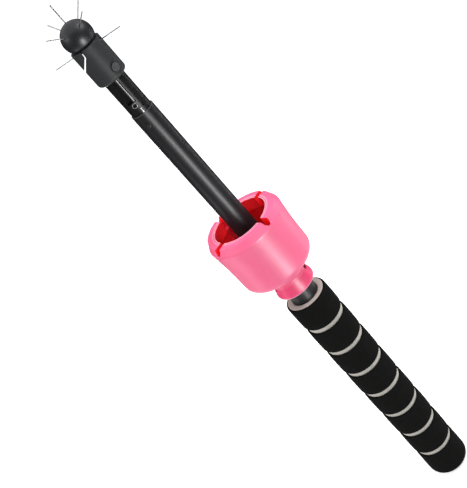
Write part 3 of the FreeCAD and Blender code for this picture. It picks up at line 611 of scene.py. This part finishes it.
PORE = 0.55 * MM
black_foam = foam("black_eva_foam", "#0D0D0D", "#171716", PORE, sheen=0.0)
grey_foam = foam("grey_eva_foam", "#B2AEA6", "#CBC7BF", PORE, sheen=0.05)
print("foam pores", round(PORE / MM, 2), "mm")

# %% [markdown]
# ## Ring surfaces
#
# Each foam ring is a closed loop carried round the axis. The loop gives radius and height, the
# angle gives the rest, and numpy works out the whole grid at once. Because both directions close
# on themselves, the mesh has no seams or poles. Real foam is cut and glued by hand, so a slow
# wave, under a fifth of a millimetre, keeps the rings from looking turned in a lathe.

# %% Ring helpers
def grid_mesh(name, points, finish):
    """A closed mesh from a grid of points (rows, columns, 3) that wraps round in both directions."""
    rows, columns = points.shape[:2]
    corner = np.arange(rows * columns).reshape(rows, columns)
    right = np.roll(corner, -1, axis=1)
    faces = np.stack([corner, right, np.roll(right, -1, axis=0), np.roll(corner, -1, axis=0)], axis=-1)
    mesh = bpy.data.meshes.new(name)
    mesh.from_pydata(points.reshape(-1, 3), [], faces.reshape(-1, 4).tolist())
    mesh.polygons.foreach_set("use_smooth", np.ones(rows * columns, bool))
    mesh.materials.append(finish)
    piece = bpy.data.objects.new(name, mesh)
    scene.collection.objects.link(piece)
    return piece


ARC_POINTS = 7
RUN_STEP = 0.9 * MM


def rounded_loop(corners):
    """A ring's section as radius and height, anticlockwise, from corners (radius, height, round).

    A corner at P with the run u before it and v after it becomes the arc
    P + round * (v - u + u sin t - v cos t), for t from 0 to 90 degrees. The runs between the arcs
    are divided into steps.
    """
    at = np.array(corners, float)
    before = at[:, :2] - np.roll(at[:, :2], 1, axis=0)
    before = before / np.linalg.norm(before, axis=1)[:, None]
    after = np.roll(before, -1, axis=0)
    t = np.linspace(0, np.pi / 2, ARC_POINTS)[None, :, None]
    u, v = before[:, None, :], after[:, None, :]
    arcs = at[:, None, :2] + at[:, None, 2:] * (v - u + u * np.sin(t) - v * np.cos(t))
    parts = []
    for arc, following in zip(arcs, np.roll(arcs, -1, axis=0)):
        count = max(1, int(np.linalg.norm(following[0] - arc[-1]) / RUN_STEP))
        share = np.linspace(0, 1, count, endpoint=False)[1:, None]
        parts += [arc, arc[-1] + share * (following[0] - arc[-1])]
    return np.concatenate(parts)


def carried_round(loop, around, swell):
    """Carry a loop round the axis: x = (r + swell) sin a, y = -(r + swell) cos a, z as it is."""
    angle = np.arange(around) * 2 * np.pi / around
    radius = loop[:, 0][:, None] + swell(angle[None, :], loop)
    level = np.broadcast_to(loop[:, 1][:, None], radius.shape)
    return np.stack([radius * np.sin(angle), -radius * np.cos(angle), level], axis=-1)


AROUND = 176


def foam_ring(name, corners, finish, swell, node):
    """Make one foam ring, and let it stand for its CAD node on the handle."""
    ring = grid_mesh(name, carried_round(rounded_loop(corners), AROUND, swell), finish)
    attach(ring, "handle")
    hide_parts(node)
    return ring


print("foam surfaces have", AROUND, "steps round the axis")

# %% [markdown]
# The eight black rings follow the CAD's bands, but each cut is a little wider and stands about a
# millimetre nearer the butt, as the cuts do on the real grip. The rings' corners are rounded where
# the knife has pulled the foam, and their faces bulge a little between the cuts. The last ring also
# closes the butt, so its section is an L that leaves a hole for the butt cap.

# %% Black rings
BANDS = 8
FRONT_EDGE = 1.4 * MM
TOP_EDGE = 0.6 * MM
LOW_EDGE = 2.4 * MM
CUT_EDGE = 0.25 * MM
BUTT_ROUND = 7.6 * MM
LOW_DROP = 0.9 * MM
TOP_DROP = 1.5 * MM
CROWN = 0.20 * MM
WAVE = 0.12 * MM
PHASE_STEP = 1.7
core_low, core_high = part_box("grip_core")
cap_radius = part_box("butt_cap")[1].x


def bulge(low, high, outer, phase):
    """A crown half way up the ring, less a slow wave in angle and height, on its outer faces only.

    The crown falls off with the square of the distance from the middle. The share of it that a
    point takes rises from 0 at the core to 1 at the ring's outside.
    """
    def swell(angle, loop):
        radius, level = loop[:, 0][:, None], loop[:, 1][:, None]
        share = np.clip((radius - core_high.x) / (outer - core_high.x), 0, 1)
        crown = -CROWN * (2 * (level - low) / (high - low) - 1) ** 2
        wave = np.sin(3 * angle + phase) + np.sin(7 * angle - 2 * phase + 160 * level)
        return share * (crown + WAVE * (wave - 2) / 4)
    return swell


rings = []
for number in range(1, BANDS + 1):
    node = f"grip_band_{number}"
    lowest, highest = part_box(node)
    low, high, outer = lowest.z, highest.z, highest.x
    low -= LOW_DROP if number < BANDS else 0
    high -= TOP_DROP if number > 1 else 0
    edge = FRONT_EDGE if number == 1 else TOP_EDGE
    top = [(outer, high, edge), (core_high.x, high, CUT_EDGE)]
    rings.append((low, high))
    if number == BANDS:
        corners = [(cap_radius, low, CUT_EDGE), (outer, low, BUTT_ROUND), *top,
                   (core_high.x, core_low.z, 0), (cap_radius, core_low.z, 0)]
    else:
        corners = [(core_high.x, low, CUT_EDGE), (outer, low, LOW_EDGE), *top]
    foam_ring(f"foam_ring_{number}", corners, black_foam, bulge(low, high, outer, number * PHASE_STEP),
              node)
print("foam rings", BANDS)

# %% [markdown]
# The grey layer is one long sleeve under the black rings. It swells out through each cut, because
# the black rings squeeze it on both sides, and it shows as a ring at the grip's front. Its section
# is worked out as one line of points, close together only where it swells.

# %% Grey sleeve
tube_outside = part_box("handle_tube")[1].x
CLEAR = 0.03 * MM
INSET = 0.3 * MM
SWELL = 0.6 * MM
SWELL_PEAK = 0.68
RIPPLE = 0.05 * MM
CUT_POINTS = 15


def swollen(low, high):
    """The sleeve's outside in one cut: its radius rises as an ellipse that starts at the lower ring.

    With t from 0 to 1 up the cut, the rise is SWELL times the root of 1 less ((t - peak) / peak)
    squared, so that it is fullest at the peak and still nearly full under the upper ring.
    """
    t = np.linspace(0, 1, CUT_POINTS)
    rise = SWELL * np.sqrt(np.clip(1 - ((t - SWELL_PEAK) / SWELL_PEAK) ** 2, 0, 1))
    return np.stack([core_high.x - INSET + rise, low + t * (high - low)], axis=-1)


def plain_run(start, end, count=8):
    """Points along a straight run, without its end."""
    share = np.linspace(0, 1, count, endpoint=False)[:, None]
    return np.array(start) + share * (np.array(end) - np.array(start))


def sleeve_wave(angle, loop):
    """Up to a tenth of a millimetre in, in a slow wave, on the sleeve's outside only."""
    outside = loop[:, 0][:, None] > core_high.x - INSET - 0.2 * MM
    wave = np.sin(4 * angle + 90 * loop[:, 1][:, None])
    return np.where(outside, RIPPLE * (wave - 1), 0.0)


upward = rings[::-1]
cuts = [swollen(below[1], above[0]) for below, above in zip(upward[:-1], upward[1:])]
skin_radius = core_high.x - CLEAR
inner_radius = tube_outside + CLEAR
outline = [plain_run((inner_radius, core_low.z), (skin_radius, core_low.z), count=4)]
at = (skin_radius, core_low.z)
for cut in cuts:
    outline += [plain_run(at, (skin_radius, cut[0, 1])), cut]
    at = (skin_radius, cut[-1, 1])
outline += [plain_run(at, (skin_radius, core_high.z)),
            plain_run((skin_radius, core_high.z), (inner_radius, core_high.z), count=6),
            plain_run((inner_radius, core_high.z), (inner_radius, core_low.z), count=40)]
sleeve = grid_mesh("foam_sleeve", carried_round(np.concatenate(outline), AROUND, sleeve_wave),
                   grey_foam)
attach(sleeve, "handle")
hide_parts("grip_core")
print("grey sleeve swells in", len(cuts), "cuts")

# %% [markdown]
# ## Wires that give way
#
# Two wires change shape when the tool moves. The long wire across the head bends when the head is
# drawn into the cup, and the button's little spring shortens under the thumb. CAD nodes are left
# as they are, so both are drawn again as round wires carried along a path. A bevelled curve would
# give the same wire, but without its domed ends.

# %% Wire helper
DOME_RINGS = 4
FLAT_END = 1e-3


def wire_along(name, path, radius, finish, around=12):
    """A round wire with domed ends along a smooth path of points.

    At each point the section is a circle in the plane across the path's direction. Its first axis
    is the direction crossed with a fixed helper, its second the direction crossed with the first.
    The ends shrink to a point as a quarter circle does.
    """
    ahead = np.gradient(path, axis=0)
    ahead /= np.linalg.norm(ahead, axis=1)[:, None]
    side = np.cross(ahead, (0.0, 0.0, 1.0))
    side /= np.linalg.norm(side, axis=1)[:, None]
    over = np.cross(side, ahead)
    quarter = np.linspace(0, np.pi / 2, DOME_RINGS, endpoint=False)
    out, shrink = np.cos(quarter), np.sin(quarter)
    centre = np.concatenate([path[0] - radius * out[:, None] * ahead[0], path,
                             path[-1] + radius * out[::-1, None] * ahead[-1]])
    size = np.concatenate([shrink, np.ones(len(path)), shrink[::-1]]) * radius
    size = np.maximum(size, radius * FLAT_END)
    side, over = (np.concatenate([np.repeat(a[:1], DOME_RINGS, 0), a, np.repeat(a[-1:], DOME_RINGS, 0)])
                  for a in (side, over))
    angle = np.arange(around) * 2 * np.pi / around
    ring = (side[:, None, :] * np.cos(angle)[None, :, None]
            + over[:, None, :] * np.sin(angle)[None, :, None])
    points = centre[:, None, :] + ring * size[:, None, None]
    rows = len(points)
    corner = np.arange(rows * around).reshape(rows, around)
    right = np.roll(corner, -1, axis=1)
    sides = np.stack([corner[:-1], right[:-1], right[1:], corner[1:]], axis=-1).reshape(-1, 4).tolist()
    ends = [corner[0, ::-1].tolist(), corner[-1].tolist()]
    mesh = bpy.data.meshes.new(name)
    mesh.from_pydata(points.reshape(-1, 3), [], sides + ends)
    mesh.polygons.foreach_set("use_smooth", np.ones(len(mesh.polygons), bool))
    mesh.materials.append(finish)
    piece = bpy.data.objects.new(name, mesh)
    scene.collection.objects.link(piece)
    return piece


def corners_of(node):
    """Every corner point of a CAD node, as an array."""
    mesh = nodes[node].data
    flat = np.empty(len(mesh.vertices) * 3, np.float32)
    mesh.vertices.foreach_get("co", flat)
    return flat.reshape(-1, 3).astype(float)


for node in ("cross_wire", "button_spring"):
    print(node, "has", len(corners_of(node)), "corner points in the CAD")

# %% [markdown]
# The long wire across the head is straight at rest. Its direction is the main axis of the CAD wire's
# corner points: the eigenvector of their spread with the greatest value. When the head is drawn in,
# the cup bends the real wire's ends.

# %% Wire across the head
WIRE_RADIUS = 0.4 * MM
WIRE_POINTS = 41
cross_points = corners_of("cross_wire")
cross_centre = (cross_points.max(0) + cross_points.min(0)) / 2
spread = cross_points - cross_centre
cross_direction = np.linalg.eigh(spread.T @ spread)[1][:, -1]
reach = float(np.abs(spread @ cross_direction).max()) - WIRE_RADIUS
steps = np.linspace(-reach, reach, WIRE_POINTS)[:, None]
cross = wire_along("cross_wire_bending", cross_centre + steps * cross_direction, WIRE_RADIUS,
                   spring_steel)
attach(cross, "shaft")
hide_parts("cross_wire")
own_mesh(cross)
print("cross wire", round(2 * (reach + WIRE_RADIUS) / MM, 1), "mm")

# %% [markdown]
# The button's spring is a coil of the CAD spring's wire, pitch and length: a helix round the
# button's axis, from the spring's foot to its head.

# %% Button spring
SPRING_WIRE = 0.3 * MM
SPRING_PITCH = 1.9 * MM
COIL_POINTS = 160
spring_points = corners_of("button_spring")
along = spring_points @ outward
spring_foot, spring_head = along.min() + SPRING_WIRE, along.max() - SPRING_WIRE
middle = (spring_points.max(0) + spring_points.min(0)) / 2
level = np.array((0.0, 0.0, 1.0))
crossways = np.cross(outward, level)
turns = (spring_head - spring_foot) / SPRING_PITCH
share = np.linspace(0, 1, COIL_POINTS)[:, None]
from_middle = spring_points - middle
off_axis = np.linalg.norm(from_middle - (from_middle @ outward)[:, None] * outward, axis=1)
coil_radius = off_axis.max() - SPRING_WIRE
foot_at = middle + (spring_foot - middle @ outward) * outward
swept = 2 * np.pi * turns * share
helix = (foot_at + share * (spring_head - spring_foot) * outward
         + coil_radius * (np.cos(swept) * crossways + np.sin(swept) * level))
spring = wire_along("coil_under_button", helix, SPRING_WIRE, spring_steel, around=10)
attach(spring, "shaft")
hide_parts("button_spring")
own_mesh(spring)
